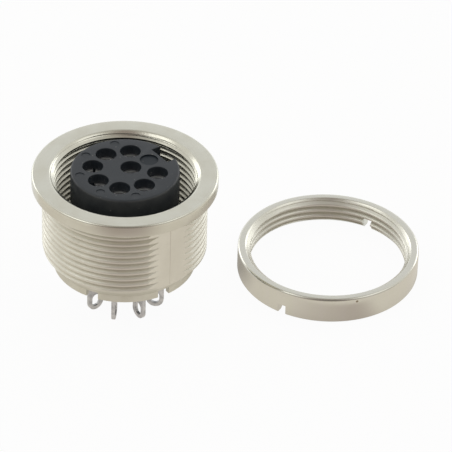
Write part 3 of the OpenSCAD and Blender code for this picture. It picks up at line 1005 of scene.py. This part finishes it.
class RECEPTACLE_OT_shell(Operator):
    """Make the die-cast shell with both its threads, the flats and the collar slots"""

    bl_idname = "receptacle.shell"
    bl_label = "Shell"

    def execute(self, context):
        scene = context.scene
        sizes = scene.receptacle_shell
        material = shell_plating(scene.receptacle_finishes, sizes)
        shell = self.section(sizes, scene.receptacle_thread).turned(
            "shell_cast", scene.receptacle_thread, ORIGIN, material, sizes.mouth_tilt)
        cut_out(shell, material, [
            (round_the_axis("flat_places", sizes.flats, 0.0), self.flat_cutter(sizes)),
            (round_the_axis("slot_places", sizes.slots, sizes.slot_turn), self.slot_cutter(sizes)),
        ])
        stand_for(shell, "shell_plating", "shell")
        return {"FINISHED"}

    def section(self, sizes, thread):
        """Half section from the mouth down the coupling thread, round the rear and up the panel thread."""
        section = Section()
        coupling_root = sizes.bore_r + thread.depth
        panel_root = sizes.crest_r - sizes.panel_depth
        lip = Lip(sizes, thread)
        section.thread(
            coupling_root, -thread.depth, sizes.cavity_z, sizes.top_z - lip.thread_depth, thread.pitch,
            upward=False, start=sizes.coupling_start)
        section.point(sizes.web_bore_r, sizes.cavity_z)
        section.point(sizes.web_bore_r, sizes.web_rear_z)
        section.point(sizes.collar_bore_r, sizes.web_rear_z)
        section.point(sizes.collar_bore_r, sizes.rear_z)
        edge = sizes.collar_edge
        section.arc(sizes.collar_r - edge, sizes.rear_z + edge, edge, -90, 0)
        section.point(sizes.collar_r, sizes.taper_z)
        section.thread(
            panel_root, sizes.panel_depth, sizes.thread_rear_z, 0.0, thread.pitch,
            upward=True, start=sizes.panel_start)
        section.arc(sizes.flange_r - sizes.edge, sizes.edge, sizes.edge, -90, 0)
        section.arc(sizes.flange_r - sizes.edge, sizes.top_z - sizes.edge, sizes.edge, 0, 90)
        section.arc(lip.r, sizes.top_z - sizes.lip, sizes.lip, 90, 90 + lip.turn)
        section.point(coupling_root, sizes.top_z - lip.thread_depth)
        return section

    def flat_cutter(self, sizes):
        """Block that takes a flat off the thread and leaves the parting line standing on it."""
        side = sizes.flange_r
        outside = sizes.flange_r + OVERCUT
        crown = sizes.flat + sizes.seam_h
        foot_half = sizes.seam_w / 2
        crown_half = sizes.seam_w / 3
        outline = [
            (sizes.flat, -side), (outside, -side), (outside, side), (sizes.flat, side),
            (sizes.flat, foot_half), (crown, crown_half), (crown, -crown_half), (sizes.flat, -foot_half),
        ]
        levels = (sizes.thread_rear_z - OVERCUT, 0.0)
        return loft("flat_cutter", [[(x, y, z) for x, y in outline] for z in levels])

    def slot_cutter(self, sizes):
        levels = (sizes.rear_z - OVERCUT, sizes.rear_z + sizes.slot_depth)
        half = sizes.slot_w / 2
        inside = sizes.collar_bore_r - OVERCUT
        return loft("slot_cutter", [rectangle(inside, sizes.flange_r, -half, half, z) for z in levels])


class RECEPTACLE_OT_insert(Operator):
    """Make the moulded insert with its contact holes, keyway, recess and dimples"""

    bl_idname = "receptacle.insert"
    bl_label = "Insert"

    def execute(self, context):
        scene = context.scene
        sizes = scene.receptacle_insert
        material = insert_plastic(scene.receptacle_finishes, sizes)
        insert = self.section(sizes).turned("insert_moulding", scene.receptacle_thread, ORIGIN, material)
        sockets = places("socket_places", socket_spots())
        key = round_the_axis("key_place", 1, KEY_BEARING)
        cut_out(insert, material, [
            (sockets, self.hole_cutter(sizes)),
            (sockets, self.tag_cutter(sizes)),
            (key, self.key_cutter(sizes)),
            (key, self.recess_cutter(sizes)),
            (self.dimple_places(sizes), self.dimple_cutter(sizes)),
        ])
        stand_for(insert, "insert_plastic", "insert")
        return {"FINISHED"}

    def section(self, sizes):
        section = Section()
        section.point(0.0, sizes.rear_z)
        section.point(sizes.seat_r, sizes.rear_z)
        section.point(sizes.seat_r, sizes.seat_z)
        section.point(sizes.body_r, sizes.seat_z)
        section.arc(sizes.body_r - sizes.rim, sizes.face_z - sizes.rim, sizes.rim, 0, 90)
        section.point(0.0, sizes.face_z)
        return section

    def hole_cutter(self, sizes):
        """Round hole right through, with a rounded lip at the face."""
        rings = [circle(sizes.hole_r, sizes.rear_z - OVERCUT)]
        for step in range(ARC_STEPS + 1):
            turn = math.pi / 2 * step / ARC_STEPS
            spread = sizes.hole_lip * (1 - math.cos(turn))
            rings.append(circle(sizes.hole_r + spread, sizes.face_z - sizes.hole_lip * (1 - math.sin(turn))))
        rings.append(circle(sizes.hole_r + sizes.hole_lip, sizes.face_z + OVERCUT))
        return loft("hole_cutter", rings)

    def tag_cutter(self, sizes):
        half = sizes.slot_w / 2
        near = -sizes.tag_offset - sizes.slot_t / 2
        levels = (sizes.rear_z - OVERCUT, sizes.slot_z)
        return loft("tag_cutter", [rectangle(-half, half, near, near + sizes.slot_t, z) for z in levels])

    def key_cutter(self, sizes):
        """Keyway down the side, bevelled at the face."""
        floor = sizes.body_r - sizes.key_depth
        outside = sizes.body_r + OVERCUT
        half = sizes.key_w / 2
        lip = sizes.key_lip
        narrow = (floor, outside, -half, half)
        wide = (floor - lip, outside, -half - lip, half + lip)
        return loft("key_cutter", [
            rectangle(*narrow, sizes.key_floor_z), rectangle(*narrow, sizes.face_z - lip),
            rectangle(*wide, sizes.face_z), rectangle(*wide, sizes.face_z + OVERCUT),
        ])

    def recess_cutter(self, sizes):
        levels = (sizes.face_z - sizes.recess_depth, sizes.face_z + OVERCUT)
        return loft("recess_cutter", [circle(sizes.recess_r, z, sizes.recess_place) for z in levels])

    def dimple_places(self, sizes):
        """Places midway between neighbouring contacts, on the side away from the keyway."""
        step = 2 * math.pi / len(CONTACTS)
        first = KEY_BEARING + math.pi - step * sizes.dimple_count / 2
        return places("dimple_places", [(ORIGIN, first + step * k) for k in range(sizes.dimple_count)])

    def dimple_cutter(self, sizes):
        levels = (sizes.face_z - sizes.dimple_depth, sizes.face_z + OVERCUT)
        return loft("dimple_cutter", [circle(sizes.dimple_r, z, sizes.dimple_place) for z in levels])


class RECEPTACLE_OT_contacts(Operator):
    """Make the rolled contacts with their eyelet solder tags"""

    bl_idname = "receptacle.contacts"
    bl_label = "Contacts"

    def execute(self, context):
        scene = context.scene
        material = contact_plating(scene.receptacle_finishes)
        sheet = self.rounded_sheet(CONTACTS[0], scene.receptacle_contact.edge)
        contacts = new_object("contacts_rolled", sheet)
        spots = places("contact_places", socket_spots())
        add_nodes(contacts, tree_of("Copies at Places", copies_tree), Places=spots, Material=material)
        settle(contacts, [spots])
        stand_for(contacts, "contact_plating", *CONTACTS)
        return {"FINISHED"}

    def rounded_sheet(self, node, edge):
        """Copy of a contact on its own axis, with its facets joined and its sharp edges rounded."""
        at = SOCKETS[node]
        shape = bmesh.new()
        shape.from_mesh(frame["nodes"][node].data)
        own_axis = Matrix.Rotation(-math.atan2(at.y, at.x), 4, "Z") @ Matrix.Translation((-at.x, -at.y, 0))
        bmesh.ops.transform(shape, matrix=own_axis, verts=shape.verts)
        bmesh.ops.remove_doubles(shape, verts=shape.verts, dist=MERGE)
        bmesh.ops.dissolve_limit(shape, angle_limit=FACET_ANGLE, verts=shape.verts, edges=shape.edges)
        sharp = [e for e in shape.edges if e.is_manifold and e.calc_face_angle() > SHARP_ANGLE]
        bmesh.ops.bevel(
            shape, geom=sharp, offset=edge, segments=2, profile=0.5, affect="EDGES", clamp_overlap=True)
        mesh = bpy.data.meshes.new("contact")
        shape.to_mesh(mesh)
        shape.free()
        return mesh


class RECEPTACLE_OT_ring_nut(Operator):
    """Make the ring nut with its thread and spanner slots"""

    bl_idname = "receptacle.ring_nut"
    bl_label = "Ring nut"

    def execute(self, context):
        scene = context.scene
        sizes = scene.receptacle_nut
        material = nut_plating(scene.receptacle_finishes, sizes)
        base = (NUT_AXIS.x, NUT_AXIS.y, NUT_LOW.z)
        nut = self.section(sizes, scene.receptacle_thread).turned(
            "ring_nut_turned", scene.receptacle_thread, base, material, sizes.mouth_tilt)
        slots = round_the_axis("spanner_places", sizes.slots, sizes.slot_bearing, base)
        cut_out(nut, material, [(slots, self.slot_cutter(sizes))])
        stand_for(nut, "nut_plating", "ring_nut")
        return {"FINISHED"}

    def section(self, sizes, thread):
        """Half section from the bottom up the outside and down the thread."""
        section = Section()
        root = sizes.bore_r + thread.depth
        lip = Lip(sizes, thread)
        section.point(root, lip.thread_depth)
        section.arc(lip.r, sizes.lip, sizes.lip, 270 - lip.turn, 270)
        section.arc(sizes.outer_r - sizes.edge, sizes.edge, sizes.edge, -90, 0)
        section.arc(sizes.outer_r - sizes.edge, sizes.height - sizes.edge, sizes.edge, 0, 90)
        section.arc(lip.r, sizes.height - sizes.lip, sizes.lip, 90, 90 + lip.turn)
        section.thread(
            root, -thread.depth, lip.thread_depth, sizes.height - lip.thread_depth, thread.pitch,
            upward=False, start=sizes.thread_start)
        return section

    def slot_cutter(self, sizes):
        half = sizes.slot_w / 2
        reach = (sizes.bore_r - OVERCUT, sizes.outer_r + OVERCUT)
        levels = (-OVERCUT, sizes.slot_depth)
        return loft("spanner_cutter", [rectangle(*reach, -half, half, z) for z in levels])


class RECEPTACLE_PT_sidebar(Panel):
    """Lists the sizes, the finishes and the pieces"""

    bl_label = "Panel receptacle"
    bl_space_type = "VIEW_3D"
    bl_region_type = "UI"
    bl_category = "Receptacle"

    def draw(self, context):
        for operator in OPERATORS:
            self.layout.operator(operator.bl_idname)
        for prop, group in SETTINGS.items():
            box = self.layout.box()
            box.label(text=group.__doc__)
            settings = getattr(context.scene, prop)
            for name in group.__annotations__:
                box.prop(settings, name)


SETTINGS = {
    "receptacle_thread": ThreadSizes,
    "receptacle_shell": ShellSizes,
    "receptacle_insert": InsertSizes,
    "receptacle_contact": ContactSizes,
    "receptacle_nut": NutSizes,
    "receptacle_finishes": Finishes,
    "receptacle_stage": StageSettings,
}
OPERATORS = (
    RECEPTACLE_OT_stage,
    RECEPTACLE_OT_shell,
    RECEPTACLE_OT_insert,
    RECEPTACLE_OT_contacts,
    RECEPTACLE_OT_ring_nut,
)


def register():
    for group in SETTINGS.values():
        bpy.utils.register_class(group)
    for operator in OPERATORS:
        bpy.utils.register_class(operator)
    bpy.utils.register_class(RECEPTACLE_PT_sidebar)
    for prop, group in SETTINGS.items():
        setattr(bpy.types.Scene, prop, PointerProperty(type=group))


def unregister():
    for prop in SETTINGS:
        delattr(bpy.types.Scene, prop)
    bpy.utils.unregister_class(RECEPTACLE_PT_sidebar)
    for cls in (*OPERATORS, *SETTINGS.values()):
        bpy.utils.unregister_class(cls)


def main():
    register()
    bpy.ops.receptacle.stage()
    bpy.ops.receptacle.shell()
    bpy.ops.receptacle.insert()
    bpy.ops.receptacle.contacts()
    bpy.ops.receptacle.ring_nut()


if __name__ == "__main__":
    main()
